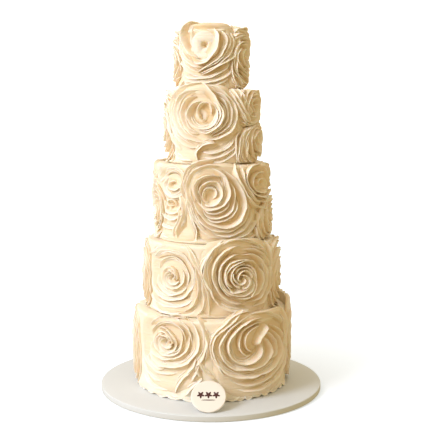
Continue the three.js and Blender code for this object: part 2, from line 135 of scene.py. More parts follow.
# The petals that the camera sees best, by tier and place in ROSES: share of the usual rise, width
# of the hollow slope in millimetres, and where the edge runs, as points given in pixels of the
# camera's frame, from its upper left corner. The slope always faces the eye.
STROKES = {
    (5, 1): [
        (0.35, 3, [(212, 51), (214, 45), (212, 38), (206, 35), (200, 37), (198, 43), (200, 49), (205, 52)]),
        (1.5, 4, [(199, 23), (192, 22), (187, 25), (184, 32), (185, 41), (188, 48), (193, 54), (201, 59)]),
        (0.4, 5, [(192, 25), (191, 31), (191, 38), (192, 44), (195, 50), (201, 55)]),
        (0.4, 5, [(191, 46), (192, 53), (197, 58), (204, 59), (210, 55)]),
        (1.25, 10, [(214, 27), (217, 35), (216, 45), (213, 53), (207, 60), (199, 63), (191, 61)]),
        (0.8, 6, [(181, 34), (179, 45), (182, 55), (188, 62), (196, 66), (205, 66)]),
        (1.0, 6, [(221, 29), (225, 36), (225, 45), (220, 55), (212, 62), (203, 68), (195, 73)]),
        (0.9, 4, [(228, 32), (229, 42), (226, 51), (219, 59), (210, 65), (202, 70)]),
        (0.95, 5, [(232, 31), (233, 41), (231, 50), (225, 58), (216, 65), (206, 70), (198, 74)]),
        (1.2, 6, [(234, 24), (238, 33), (238, 44), (235, 53), (228, 60), (218, 65), (208, 71), (199, 76)]),
        (0.7, 7, [(178, 38), (176, 50), (179, 61), (186, 69), (195, 75), (205, 76)]),
        (0.75, 6, [(232, 60), (226, 68), (218, 73), (207, 77), (194, 78), (182, 75)]),
        (0.85, 7, [(234, 66), (228, 74), (219, 79), (208, 82), (194, 82), (181, 79)]),
        (0.7, 6, [(231, 75), (224, 81), (214, 85), (203, 86), (190, 86), (180, 84)]),
    ],
    (4, 1): [
        (0.7, 4, [
            (206, 120), (201, 120), (198, 116), (198, 109), (202, 104), (208, 104), (211, 109),
            (211, 116),
        ]),
        (1.0, 7, [
            (207, 103), (200, 102), (193, 105), (189, 112), (190, 120), (195, 126), (203, 128),
            (211, 126), (216, 120), (217, 112), (214, 105),
        ]),
        (1.0, 4, [(212, 101), (217, 106), (219, 113), (218, 120), (213, 127), (205, 130), (196, 130)]),
        (1.35, 9, [
            (197, 131), (207, 132), (216, 127), (221, 119), (221, 110), (216, 101), (211, 93), (205, 85),
            (198, 81),
        ]),
        (0.8, 4, [(219, 101), (223, 108), (224, 117), (220, 125), (213, 131), (205, 134)]),
        (0.85, 4, [(218, 96), (225, 104), (227, 113), (225, 122), (218, 130), (209, 136)]),
        (0.9, 5, [(214, 91), (223, 96), (230, 106), (231, 116), (228, 125), (221, 132), (211, 137)]),
        (1.15, 7, [
            (207, 85), (217, 88), (227, 96), (234, 106), (236, 116), (233, 126), (227, 133), (218, 138),
            (207, 140),
        ]),
        (0.8, 6, [(197, 96), (188, 99), (183, 106), (182, 115), (184, 124), (190, 131), (199, 134)]),
        (0.85, 8, [
            (199, 90), (187, 92), (179, 98), (175, 108), (175, 119), (179, 129), (187, 137), (197, 141),
            (208, 142),
        ]),
        (0.9, 9, [
            (203, 83), (191, 84), (180, 89), (172, 98), (170, 110), (171, 122), (175, 133), (182, 142),
            (191, 147), (201, 148),
        ]),
        (0.75, 8, [(168, 100), (166, 114), (168, 128), (173, 141), (181, 151)]),
        (1.1, 8, [(217, 142), (207, 143), (200, 147), (196, 154), (197, 163)]),
        (0.7, 6, [(201, 151), (211, 153), (222, 150), (231, 144), (237, 135)]),
        (0.75, 6, [(203, 157), (214, 158), (225, 154), (234, 147), (239, 137)]),
        (0.8, 6, [(212, 162), (223, 161), (232, 155), (238, 146), (242, 136)]),
        (0.7, 8, [(172, 150), (180, 158), (192, 161)]),
    ],
    (3, 1): [
        (0.5, 5, [(206, 202), (203, 197), (204, 191), (209, 188), (215, 190), (216, 196), (212, 200)]),
        (0.95, 9, [
            (201, 199), (200, 192), (203, 186), (210, 182), (217, 184), (221, 190), (221, 197),
            (217, 203), (210, 206), (203, 205),
        ]),
        (0.7, 3, [(204, 204), (210, 206), (217, 204), (222, 200)]),
        (1.1, 9, [
            (200, 199), (203, 206), (209, 209), (217, 208), (224, 204), (228, 196), (228, 186),
            (224, 177), (217, 171), (210, 168),
        ]),
        (0.8, 3, [(204, 211), (211, 213), (219, 212), (226, 207), (230, 200)]),
        (1.0, 5, [(222, 178), (214, 176), (205, 177), (198, 182), (195, 190), (197, 198), (200, 205)]),
        (0.85, 4, [
            (202, 210), (208, 216), (217, 218), (226, 215), (232, 208), (234, 199), (233, 189),
            (229, 180),
        ]),
        (0.8, 4, [(205, 217), (214, 221), (224, 220), (232, 215), (236, 207), (237, 197)]),
        (1.25, 8, [
            (191, 199), (196, 207), (203, 216), (211, 223), (221, 227), (231, 226), (239, 220),
            (243, 211), (244, 201), (241, 191), (236, 182), (229, 174), (222, 169),
        ]),
        (1.0, 9, [
            (222, 167), (211, 166), (200, 168), (192, 174), (188, 182), (187, 191), (190, 201),
            (194, 209),
        ]),
        (0.8, 5, [
            (194, 213), (202, 222), (211, 229), (221, 231), (232, 230), (241, 224), (247, 214),
            (248, 204), (246, 196),
        ]),
        (0.85, 5, [(215, 235), (226, 236), (237, 233), (246, 226), (251, 217), (252, 207)]),
        (0.9, 5, [(222, 240), (233, 239), (244, 235), (253, 227), (257, 217), (256, 208)]),
        (0.75, 5, [(230, 243), (242, 241), (253, 236), (260, 228), (262, 219)]),
        (0.9, 8, [(186, 196), (189, 208), (194, 219), (202, 229), (211, 236), (221, 239)]),
        (1.0, 9, [(216, 161), (204, 161), (193, 165), (186, 172), (183, 181), (182, 191), (184, 202)]),
    ],
    (3, 2): [
        (0.8, 3, [(258, 187), (256, 183), (258, 179), (262, 180), (264, 184)]),
        (0.85, 5, [(265, 174), (258, 173), (253, 177), (252, 184), (255, 190), (261, 192), (267, 189)]),
        (1.3, 7, [
            (262, 165), (254, 165), (248, 169), (246, 177), (248, 186), (253, 193), (260, 196),
            (267, 195),
        ]),
        (0.9, 6, [(247, 190), (252, 197), (260, 201), (268, 199)]),
        (0.9, 6, [(246, 196), (252, 203), (260, 207), (267, 206)]),
    ],
    (3, 8): [
        (0.7, 4, [(174, 184), (172, 181), (168, 183), (168, 188), (173, 190), (178, 187), (179, 182)]),
        (0.6, 7, [(165, 177), (162, 186), (165, 194), (173, 197), (181, 193), (183, 184), (180, 176)]),
        (0.7, 9, [
            (158, 198), (156, 185), (159, 174), (167, 167), (176, 168), (183, 175), (186, 185),
            (186, 195),
        ]),
        (0.6, 9, [(154, 202), (151, 188), (154, 174), (162, 165)]),
    ],
    (3, 9): [
        (0.8, 3, [(171, 206), (168, 206), (166, 203), (169, 200), (173, 201), (175, 205), (173, 209)]),
        (0.7, 4, [(163, 203), (164, 210), (170, 213), (176, 211), (179, 205), (177, 198)]),
        (0.7, 5, [(159, 205), (162, 215), (169, 219), (177, 217), (182, 210), (182, 201)]),
        (0.7, 6, [(156, 209), (158, 220), (165, 227), (173, 228), (179, 222)]),
        (0.6, 8, [(153, 215), (155, 228), (162, 236), (171, 239)]),
    ],
    (2, 1): [
        (0.6, 6, [
            (164, 266), (161, 274), (162, 282), (168, 288), (175, 288), (181, 283), (182, 275),
            (179, 268),
        ]),
        (0.65, 7, [(186, 287), (187, 276), (184, 267), (177, 260), (168, 258), (160, 262), (156, 270)]),
        (0.6, 7, [(155, 273), (157, 284), (162, 291), (170, 295), (179, 293), (186, 287)]),
        (0.65, 8, [
            (150, 268), (150, 280), (154, 291), (162, 298), (172, 300), (183, 297), (190, 290),
            (193, 281), (192, 270),
        ]),
        (0.75, 8, [(194, 283), (192, 271), (187, 261), (179, 254), (169, 251), (159, 252), (151, 258)]),
        (0.6, 8, [
            (146, 272), (147, 286), (151, 297), (159, 304), (170, 307), (181, 306), (190, 301),
            (196, 292),
        ]),
        (0.8, 8, [(201, 276), (198, 265), (193, 256), (187, 249), (180, 245)]),
        (0.6, 8, [(149, 304), (158, 311), (170, 314), (182, 312)]),
        (0.6, 8, [(168, 247), (158, 248), (149, 254), (144, 263)]),
    ],
    (2, 2): [
        (1.0, 5, [
            (243, 294), (235, 292), (229, 287), (226, 279), (227, 271), (232, 264), (240, 261),
            (248, 261), (255, 264), (260, 270),
        ]),
        (0.9, 4, [(259, 266), (262, 274), (262, 283), (258, 291), (251, 296), (242, 298), (233, 296)]),
        (1.0, 5, [
            (237, 298), (228, 294), (222, 286), (220, 277), (222, 268), (227, 261), (235, 256),
            (243, 255),
        ]),
        (0.9, 5, [
            (242, 256), (251, 255), (259, 259), (265, 266), (267, 275), (266, 284), (262, 293),
            (255, 300), (246, 303),
        ]),
        (1.1, 7, [
            (245, 304), (235, 303), (226, 298), (219, 291), (215, 282), (214, 272), (217, 262),
            (224, 254), (233, 248), (242, 246),
        ]),
        (0.9, 6, [
            (243, 250), (253, 250), (262, 254), (268, 262), (271, 272), (271, 283), (268, 293),
            (262, 302), (253, 308),
        ]),
        (1.1, 8, [(213, 295), (207, 285), (205, 275), (206, 265), (211, 255), (218, 247), (227, 242)]),
        (0.9, 7, [(251, 309), (241, 311), (230, 310), (220, 305), (213, 297)]),
        (0.9, 6, [(221, 247), (230, 242), (241, 240), (253, 242), (262, 248), (268, 257)]),
        (0.8, 6, [(250, 246), (260, 249), (268, 256), (273, 267), (274, 279)]),
    ],
    (1, 1): [
        (0.7, 5, [
            (155, 332), (153, 340), (156, 348), (163, 352), (172, 352), (179, 347), (181, 339),
            (178, 331),
        ]),
        (0.7, 5, [(184, 345), (183, 336), (178, 328), (170, 323), (161, 323), (153, 328), (149, 336)]),
        (0.75, 5, [
            (148, 341), (150, 350), (156, 356), (165, 359), (175, 358), (183, 353), (188, 345),
            (188, 336),
        ]),
        (0.8, 6, [(191, 344), (189, 333), (183, 325), (174, 319), (164, 317), (154, 320), (147, 327)]),
        (1.1, 9, [
            (146, 349), (151, 358), (159, 364), (170, 367), (182, 365), (191, 359), (197, 350),
            (198, 339), (195, 329), (188, 320),
        ]),
        (0.6, 8, [(142, 338), (142, 351), (146, 362), (154, 370), (165, 374), (177, 374)]),
        (1.0, 9, [(197, 320), (203, 329), (206, 340), (205, 351), (200, 361), (193, 369), (184, 375)]),
        (0.6, 8, [(140, 356), (144, 368), (151, 377), (161, 382)]),
        (0.8, 7, [(166, 318), (176, 316), (187, 320)]),
        (0.8, 7, [(147, 352), (149, 360), (155, 367), (162, 370)]),
        (0.7, 8, [(141, 372), (147, 382), (156, 388), (167, 391)]),
    ],
    (1, 2): [
        (1.25, 9, [(268, 324), (264, 330), (260, 336), (258, 342), (257, 347)]),
        (0.8, 4, [(263, 326), (255, 328), (249, 334), (246, 341), (247, 348), (251, 352), (256, 351)]),
        (0.85, 4, [
            (265, 323), (256, 324), (248, 328), (242, 335), (240, 343), (242, 351), (248, 356),
            (255, 355),
        ]),
        (1.15, 9, [
            (258, 342), (262, 346), (261, 353), (255, 359), (247, 363), (238, 362), (232, 356),
            (229, 348), (231, 340), (237, 332), (245, 325), (255, 320), (266, 317),
        ]),
        (1.1, 7, [
            (261, 336), (268, 341), (270, 349), (268, 357), (262, 364), (252, 368), (240, 369),
            (229, 365), (223, 357), (221, 348), (224, 339), (231, 330), (241, 322), (252, 316),
        ]),
        (0.8, 4, [(263, 332), (270, 335), (275, 342), (276, 351), (272, 361)]),
        (1.15, 8, [
            (266, 328), (274, 332), (279, 340), (280, 350), (276, 361), (267, 370), (255, 375),
            (241, 377), (228, 373), (219, 365), (213, 356), (211, 346), (215, 336), (224, 327),
            (234, 318), (245, 313), (256, 312),
        ]),
        (0.9, 6, [
            (270, 324), (279, 330), (284, 340), (284, 352), (279, 364), (269, 376), (256, 383),
            (242, 385), (229, 380),
        ]),
        (0.85, 6, [(286, 337), (287, 352), (284, 365), (276, 378), (264, 387), (250, 391), (236, 390)]),
        (0.8, 6, [(250, 316), (260, 313), (270, 313), (279, 317), (285, 326)]),
    ],
}

# Long folds between the roses: tier, rise, width of the slope, side of the slope (1 left, -1
# right of the run), and where the edge runs, as points given in the same pixels.
FOLDS = [
    (5, 9.0, 6, 1, [(234, 58), (232, 68), (234, 78), (238, 89)]),
    (5, 10.0, 6, 1, [(238, 57), (236, 67), (239, 78), (243, 88)]),
    (5, 9.0, 6, 1, [(241, 58), (243, 70), (247, 80), (250, 90)]),
    (4, 11.5, 7, -1, [(234, 88), (236, 97), (241, 107), (246, 117), (251, 127)]),
    (4, 10.0, 5, -1, [(230, 90), (234, 100), (239, 110), (244, 120), (248, 128)]),
    (4, 11.0, 6, -1, [(240, 88), (242, 98), (247, 108), (252, 118)]),
    (4, 9.5, 6, 1, [(246, 131), (241, 138), (239, 147), (240, 156), (243, 164)]),
    (4, 9.0, 6, 1, [(242, 131), (237, 137), (236, 146), (237, 156), (239, 164)]),
    (4, 9.5, 6, 1, [(252, 130), (247, 139), (245, 149), (247, 162)]),
    (3, 11.5, 7, -1, [(237, 163), (235, 172), (238, 182), (243, 191), (248, 200), (254, 206), (262, 209)]),
    (3, 10.5, 6, -1, [(243, 165), (242, 174), (244, 184), (249, 193), (254, 200), (262, 204)]),
    (3, 7.0, 6, 1, [(256, 208), (260, 218), (261, 229), (262, 241)]),
    (3, 7.0, 6, 1, [(262, 210), (266, 222), (267, 233)]),
    (3, 8.0, 8, 1, [(177, 194), (182, 202), (184, 211), (182, 220), (178, 230), (176, 241)]),
    (3, 5.5, 6, 1, [(175, 205), (179, 213), (178, 221), (174, 230), (172, 240)]),
    (3, 6.5, 8, -1, [(186, 206), (191, 217), (195, 229), (196, 243)]),
    (2, 8.0, 9, 1, [
        (183, 246), (190, 254), (196, 264), (201, 274), (206, 285), (209, 297), (210, 308), (209, 319),
    ]),
    (2, 7.0, 7, 1, [(194, 262), (197, 273), (199, 284), (199, 294), (196, 303), (190, 309), (181, 314)]),
    (2, 6.0, 6, 1, [(201, 280), (204, 291), (205, 302), (202, 311), (195, 318)]),
    (2, 8.0, 8, -1, [
        (224, 240), (216, 247), (209, 255), (203, 263), (201, 272), (205, 282), (210, 292), (215, 301),
        (223, 307),
    ]),
    (1, 8.0, 9, -1, [
        (246, 310), (238, 317), (229, 325), (220, 332), (213, 340), (212, 350), (215, 361), (220, 371),
        (227, 379),
    ]),
    (1, 8.0, 9, 1, [(196, 318), (203, 328), (208, 340), (208, 353), (205, 364)]),
    (1, 7.0, 7, 1, [(199, 358), (202, 367), (208, 375), (217, 381)]),
    (1, 6.0, 6, -1, [(196, 358), (192, 367), (184, 376)]),
    (1, 6.0, 6, 1, [(197, 362), (198, 371), (202, 380)]),
    (1, 6.0, 6, -1, [(198, 364), (195, 374), (190, 383)]),
    (1, 6.5, 9, -1, [(193, 369), (185, 376), (178, 384), (173, 395)]),
    (1, 6.0, 9, -1, [(203, 379), (195, 385), (188, 391), (183, 398)]),
]

# The same round the sides, where the edge runs by degrees from the front and height above the
# tier's foot.
SIDE_FOLDS = [
    (1, 8.0, 8, -1, [(66, 132), (70, 114), (71, 92), (68, 70), (69, 50), (66, 30)]),
    (1, 7.0, 8, 1, [(62, 126), (65, 108), (66, 86), (64, 64)]),
    (2, 8.0, 7, -1, [(55, 114), (58, 98), (59, 78), (57, 60), (58, 42), (55, 24)]),
    (3, 8.0, 8, -1, [(66, 119), (70, 105), (78, 92), (89, 82), (100, 72)]),
    (3, 8.0, 8, -1, [(77, 119), (81, 107), (89, 97), (101, 88)]),
    (3, 7.0, 7, -1, [(90, 119), (96, 109), (105, 102)]),
    (4, 8.0, 7, -1, [(90, 110), (91, 92), (88, 74), (91, 56), (89, 34), (92, 12)]),
]

# How a rose is built up. Depths and rises are millimetres out from the tier's wall.
SPREAD = 1.16  # how far the petals run past a rose's circle where nothing stops them
PETAL_REACH = 5.0  # how far from the wall the petals' edges are taken to lie, as seen
PITCH = 8.0  # usual space between one petal's edge and the next
HOLE = 3.0  # usual distance from the eye at which the arms start
LIP = 0.65  # half the thickness of a petal's edge
EYE_DEPTH = -6.5  # of the icing under the petals, at the eye
DIP_DEPTH = -3.0  # of the same between the eye and the middle petals
SWELL = 0.8  # how far it stands out under the outer petals
RIM_DEPTH = -1.6  # of the same at the rose's rim
EDGE_RISE = 8.6  # usual rise of a petal's edge
RIM_RISE = 5.0  # rise of the edges at the rose's rim
BACK_SIDE = (-0.906, 0.42)  # direction from the eye, across and up, of the broadest outer flanks
BACK_LEAST = 0.4  # width of the outer flanks on the other side
BACK_MORE = 3.0  # how much broader they are on this side
BURIED = 1.2  # how deep a petal's foot lies in what carries it
FOLD_ROOT = -2.5  # how deep a fold's foot lies in the tier
ROOT = -9.0  # how deep a rose's back lies in the tier
THIN_ROOT = -3.0  # the same where the rose stands above the tier's top
HOLLOW = 7.0  # how far a tier's skin draws in behind a rose
PATH_STEP = 1.6  # between samples of a petal's run that is given point by point
WOUND_STEP = 2.0  # between samples of a petal that winds out by rule

# The fine ridges on a petal. Each band is the shares down the slope between which a ridge wanders,
# and the least width of a slope that carries it. Very tall petals have none.
RIDGE_BANDS = ((0.22, 0.42, 4.4), (0.42, 0.62, 6.5), (0.62, 0.82, 8.8))
RIDGE_RISE = (1.6, 2.7)
RIDGE_WIDE = 2.4
RIDGE_BACK = 0.4
RIDGE_LEAN = 0.5
TALLEST_RIDGED = 1.15 * EDGE_RISE

# The shares of its length over which each kind of petal grows and dies away.
PLACED_ENDS = (0.18, 0.22)
WOUND_ENDS = (0.2, 0.12)
FOLD_ENDS = (0.25, 0.25)
SCALLOP_ENDS = (0.3, 0.35)
RIDGE_ENDS = (0.3, 0.3)

# Lengths of the waves that make a petal's edge uneven, and how high and how far sideways a wave
# takes it, as shares of the wave's length.
EDGE_WAVES = (37, 23, 11, 5.3)
WAVE_RISE = 0.014
WAVE_LEAN = 0.012

# Where a petal's section is sampled: shares up its slope, angles round its lip, and shares of its
# height that are left on its flank. A fine ridge takes fewer.
PETAL_SECTION = (
    np.linspace(0, 0.94, 8), np.radians([125, 80, 35, -15]), np.array([0.84, 0.5, 0.0])
)
RIDGE_SECTION = (
    np.array([0, 0.3, 0.55, 0.72, 0.85, 0.94]), np.radians([110, 30]), np.array([0.5, 0.0])
)

# Radii of rounded edges.
TIER_EDGE = 4.4
BOARD_EDGE = 1.4

# The round plaque that leans on the lowest tier.
PLAQUE_LEAN = 47.0  # degrees from upright
PLAQUE_THICKNESS = 3.0
BLOSSOM = 5.8  # reach of a blossom's lobes
BLOSSOM_SPACE = 11.4  # from one blossom's middle to the next
BLOSSOM_UP = 2.0  # of the blossoms above the plaque's middle
LINE_UP = -6.5  # of the line under them
LINE_REACH = (11.0, 0.7)  # half the line's length and width
PRINT_SUNK = 0.3  # how deep the print's back lies in the plaque
PRINT_PROUD = 0.2  # how far its face stands out

# Where the floor's glow starts to grow and where it is full, in metres from the cake's axis.
GLOW_START, GLOW_END = 0.2, 0.9

# Points that fall within this of each other become one.
WELD = 0.002

# Lengths and shares are kept at least this far from zero where something is divided by them.
TINY = 1e-6


# ---------------------------------------------------------------- meshes


def welded(points, faces):
    """Joins points that fall together and drops the triangles that this leaves without area."""
    keys = np.round(points / (WELD * MM)).astype(np.int64)
    _, first, same = np.unique(keys, axis=0, return_index=True, return_inverse=True)
    faces = same.reshape(-1)[faces]
    a, b, c = faces.T
    return first, faces[(a != b) & (b != c) & (a != c)]


def add_piece(name, points, faces, finish, crest, flow, nodes):
    """Puts triangles into a mesh, with its flow map and, if its finish reads one, its crest
    value, and lets it ride."""
    keep, faces = welded(points, faces)
    used, faces = np.unique(faces, return_inverse=True)
    faces = faces.reshape(-1, 3)
    keep = keep[used]
    mesh = bpy.data.meshes.new(name)
    mesh.vertices.add(len(keep))
    mesh.vertices.foreach_set("co", points[keep].astype(np.float32).ravel())
    mesh.loops.add(faces.size)
    mesh.loops.foreach_set("vertex_index", faces.astype(np.int32).ravel())
    mesh.polygons.add(len(faces))
    mesh.polygons.foreach_set("loop_start", np.arange(0, faces.size, 3, dtype=np.int32))
    mesh.update(calc_edges=True)
    mesh.polygons.foreach_set("use_smooth", np.ones(len(faces), dtype=bool))
    if crest is not None:
        values = mesh.attributes.new("crest", "FLOAT", "POINT")
        values.data.foreach_set("value", crest[keep].astype(np.float32))
    layer = mesh.uv_layers.new(name="flow")
    layer.uv.foreach_set("vector", flow[keep][faces].astype(np.float32).ravel())
    mesh.validate()
    mesh.materials.append(finish)
    piece = bpy.data.objects.new(name, mesh)
    bpy.context.scene.collection.objects.link(piece)
    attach(piece, "root")
    if nodes:
        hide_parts(*nodes)


def grid_faces(rows, columns, closed=False):
    """Triangles of a grid of points. They face the side from which the columns run anticlockwise
    where the rows run outwards. Where it is closed, the last column joins the first."""
    row = np.arange(rows - 1)[:, None]
    column = np.arange(columns if closed else columns - 1)[None, :]
    after = (column + 1) % columns
    a = row * columns + column
    b = (row + 1) * columns + column
    c = (row + 1) * columns + after
    d = row * columns + after
    first = np.stack([a, b, c], axis=-1).reshape(-1, 3)
    second = np.stack([a, c, d], axis=-1).reshape(-1, 3)
    return np.concatenate([first, second])


def smooth_step(value):
    """Climbs from 0 to 1 between 0 and 1, level at both ends: 3 v squared less 2 v cubed."""
    value = np.clip(value, 0, 1)
    return value * value * (3 - 2 * value)


def on_wall(radius, across, height, out):
    """Wraps a flat place round a drum: across is arc length from the front, out stands off."""
    angle = across / radius
    reach = radius + out
    return np.stack([reach * np.sin(angle), -reach * np.cos(angle), height], axis=-1) * MM


def seen_on_wall(pixels, tier):
    """Where points of the camera's frame fall on a tier: arc length from the front, and height
    above the tier's foot. Each point's ray meets a drum PETAL_REACH larger than the tier; a ray
    that misses the drum is taken where it passes closest to its axis."""
    across, down = (np.array(pixels, float) - FRAME_PIXELS / 2).T
    right = (across + SHIFT_PIXELS) / FOCAL_PIXELS
    up = -down / FOCAL_PIXELS
    forward = math.cos(CAMERA_DOWN) + up * math.sin(CAMERA_DOWN)
    rising = up * math.cos(CAMERA_DOWN) - math.sin(CAMERA_DOWN)
    spread = right**2 + forward**2
    middle = CAMERA_DISTANCE * forward
    beyond = CAMERA_DISTANCE**2 - (tier["radius"] + PETAL_REACH) ** 2
    way = (middle - np.sqrt(np.maximum(middle**2 - spread * beyond, 0))) / spread
    angle = np.arctan2(way * right, CAMERA_DISTANCE - way * forward)
    height = CAMERA_HEIGHT + way * rising - tier["foot"]
    return np.stack([angle * tier["radius"], height], axis=-1)


def ripples(seed, across, along, count, slow, fast):
    """Sum of sine waves of random direction and phase, between slow and fast cycles."""
    random = np.random.default_rng(seed)
    total = np.zeros(np.broadcast(across, along).shape)
    for _ in range(count):
        round_cycles = random.integers(slow, fast + 1)
        up_cycles = random.uniform(-fast, fast)
        phase = random.uniform(0, 2 * math.pi)
        total = total + np.sin(round_cycles * across + up_cycles * along + phase)
    return total / math.sqrt(count)


# ---------------------------------------------------------------- roses


def chord_distance(rose, other, directions, radius):
    """Distance from the eye to the common chord of two roses' circles, in each direction: half
    the difference of the eye's powers to the circles, over the part of the line between the
    circles' middles that lies in that direction."""
    turn = (other["angle"] - rose["angle"] + 540) % 360 - 180
    own = np.array(rose["drift"], float)
    place = np.array([math.radians(turn) * radius, other["height"] - rose["height"]])
    place = place + other["drift"]
    between = place - own
    along = directions @ between
    power = place @ place - other["radius"] ** 2 - own @ own + rose["radius"] ** 2
    distance = np.full(len(directions), np.inf)
    ahead = along > TINY
    distance[ahead] = power / 2 / along[ahead]
    return distance


def facing(angle):
    """Unit vectors on the unrolled wall: the cosine across and the sine up."""
    return np.stack([np.cos(angle), np.sin(angle)], axis=-1)


def softly(limits, sharpness):
    """The least of several limits, with its corners rounded: each is raised to a negative power,
    and the sum is taken back by the inverse power."""
    return sum(limit**-sharpness for limit in limits) ** (-1 / sharpness)


def circle_reach(rose, directions):
    """Distance from the eye to the rose's circle in each direction: the larger root of the
    quadratic for a line from the eye and the circle."""
    drift = np.array(rose["drift"], float)
    along = directions @ drift
    return along + np.sqrt(along**2 - drift @ drift + rose["radius"] ** 2)


def wall_limit(rose, others, tier, directions):
    """Distance from the eye to the nearest neighbour's chord, tier's top or tier's foot."""
    limits = [chord_distance(rose, other, directions, tier["radius"]) for other in others]
    up = directions[:, 1]
    room_above = tier["top"] - tier["foot"] + rose["over"] - rose["height"]
    limits.append(np.where(up > TINY, room_above / np.maximum(up, TINY), np.inf))
    limits.append(np.where(up < -TINY, (1 - rose["height"]) / np.minimum(up, -TINY), np.inf))
    return softly(limits, 12)


def outline(rose, others, tier, directions):
    """How far a rose reaches in each direction: the lesser of its widened circle and what the
    wall allows, rounded where they meet."""
    limit = wall_limit(rose, others, tier, directions)
    return softly([SPREAD * circle_reach(rose, directions), limit], 10)


def hollow(share):
    """Height of a petal's slope from its foot to its lip, as a share: mostly a power of 3.2,
    which starts nearly level and ends steep."""
    return 0.14 * share + 0.86 * share**3.2


def petal(across, height, low, top, wide, back, lean, side, ends, random):
    """A petal, with finer ridges along its slope where the slope is broad. A ridge wanders
    over the slope, and runs over only a part of the petal's length."""
    seed = random.integers(SEED_RANGE)
    made = [blade(across, height, low, top, wide, back, lean, side, ends, seed)]
    way = np.stack([np.gradient(across), np.gradient(height)])
    way = way / np.hypot(*way)
    count = len(across)
    proud = min(np.mean(top - low) / EDGE_RISE, 1)
    wide, low, top = (value + 0 * across for value in (wide, low, top))
    for near, far, least in RIDGE_BANDS:
        start = int(count * random.uniform(0.02, 0.3))
        end = int(count * random.uniform(0.7, 0.98))
        part = np.arange(start, end)
        if len(part) < 16 or np.mean(wide) < least or np.mean(top) > TALLEST_RIDGED:
            continue
        wander = np.sin(part / count * random.uniform(3, 7) + random.uniform(0, 6))
        down = near + (far - near) * (0.5 + 0.5 * wander)
        offset = wide[part] * down * side
        foot = low[part]
        level = foot + (top - low)[part] * hollow(1 - down)
        crown = level + proud * random.uniform(*RIDGE_RISE)
        made.append(
            blade(
                across[part] - way[1][part] * offset, height[part] + way[0][part] * offset, foot,
                crown, RIDGE_WIDE, RIDGE_BACK, RIDGE_LEAN, side, RIDGE_ENDS,
                random.integers(SEED_RANGE), RIDGE_SECTION,
            )
        )
    return made


def back_width(across, height):
    """Width of a petal's outer flank: full on the rose's upper left and thin elsewhere, by
    smooth steps of the direction and of the distance from the eye."""
    reach = np.maximum(np.hypot(across, height), TINY)
    toward = (BACK_SIDE[1] * height + BACK_SIDE[0] * across) / reach
    broad = BACK_MORE * smooth_step((toward - 0.3) / 0.6)
    return BACK_LEAST + broad * smooth_step(reach / 24)


def edge_waves(length, seed):
    """How an uneven edge rises and leans along a petal: sums of sine waves of random phase."""
    random = np.random.default_rng(seed)
    fray = 0 * length
    bend = 0 * length
    for cycle in EDGE_WAVES:
        turns = length / cycle * 2 * np.pi
        fray = fray + np.sin(turns + random.uniform(0, 6)) * cycle * WAVE_RISE
        bend = bend + np.sin(turns + random.uniform(0, 6)) * cycle * WAVE_LEAN
    return fray, bend


def wedge(full, wide, back, lean, section):
    """A petal's section all along it: how far each point lies across the path, how far it
    rises, and its crest value. The slope climbs as hollow() says, the lip is part of a circle,
    and the flank falls away as a power of its height. full is the whole rise."""
    slope, bow, drop = (np.reshape(part, (-1, 1)) for part in section)
    climb = hollow(slope)
    run_slope = -wide * (1 - slope) - LIP * slope + lean * climb
    run_lip = LIP * np.cos(bow) + lean
    run_back = 0.6 * LIP + back * (1 - drop) ** 0.8 + lean * drop**1.5
    out_slope = (full - LIP) * climb
    out_lip = full - LIP + LIP * np.sin(bow)
    out_back = full * drop
    run = np.concatenate([run_slope, run_lip, run_back])
    rise = np.concatenate([out_slope, out_lip, out_back])
    crest = np.concatenate([climb + 0 * out_slope, 1 + 0 * out_lip, drop + 0 * out_back])
    return run, rise, crest


def blade(
    across, height, low, top, wide, back, lean, side, ends, seed, section=PETAL_SECTION
):
    """A wedge swept along a path on the unrolled wall. One flank is a long hollow slope, the
    other is steep and leans over, and a thin round lip joins them. low and top are how far its
    foot and its lip stand out, wide and back are the widths of the slope and of the other
    flank, lean is how far the lip leans, and side is 1 where the slope lies on the left of the
    path. It grows and dies away as sines, over the shares of its length that ends gives."""
    count = len(across)
    way = np.stack([np.gradient(across), np.gradient(height)])
    step = np.hypot(*way)
    way = way / step
    normal = np.stack([way[1], -way[0]]) * side
    length = np.concatenate([[0], np.cumsum((step[1:] + step[:-1]) / 2)])
    share = length / length[-1]
    grow = np.clip(share / ends[0], 0, 1) * np.pi / 2
    fade = np.clip((1 - share) / ends[1], 0, 1) * np.pi / 2
    size = (np.sin(grow) * np.sin(fade)) ** 0.8

    fray, bend = edge_waves(length, seed)
    full = np.maximum(top + fray * size - low, 0.5)
    run, rise, crest = wedge(full, wide, back, lean + bend, section)
    run, rise = run * size, rise * size
    sections = len(rise)
    faces = grid_faces(count, sections, closed=True)
    if side > 0:
        faces = faces[:, ::-1]
    around = np.linspace(0, 1, sections)[:, None] * (wide + 0 * length)
    flow = np.stack([np.broadcast_to(length, rise.shape), around], axis=-1)
    place_across = across + run * normal[0]
    place_height = height + run * normal[1]
    shape = np.stack([place_across, place_height, low + rise, crest], axis=-1)
    return shape.transpose(1, 0, 2).reshape(-1, 4), faces, flow.transpose(1, 0, 2).reshape(-1, 2)


def bowl(share):
    """How far out the icing under the petals lies: deep at the eye, then level, and drawn in
    at the rim, with smooth steps between."""
    depth = EYE_DEPTH + (DIP_DEPTH - EYE_DEPTH) * smooth_step(share / 0.3)
    depth = depth + (SWELL - DIP_DEPTH) * smooth_step((share - 0.55) / 0.3)
    return depth + (RIM_DEPTH - SWELL) * smooth_step((share - 0.9) / 0.1)


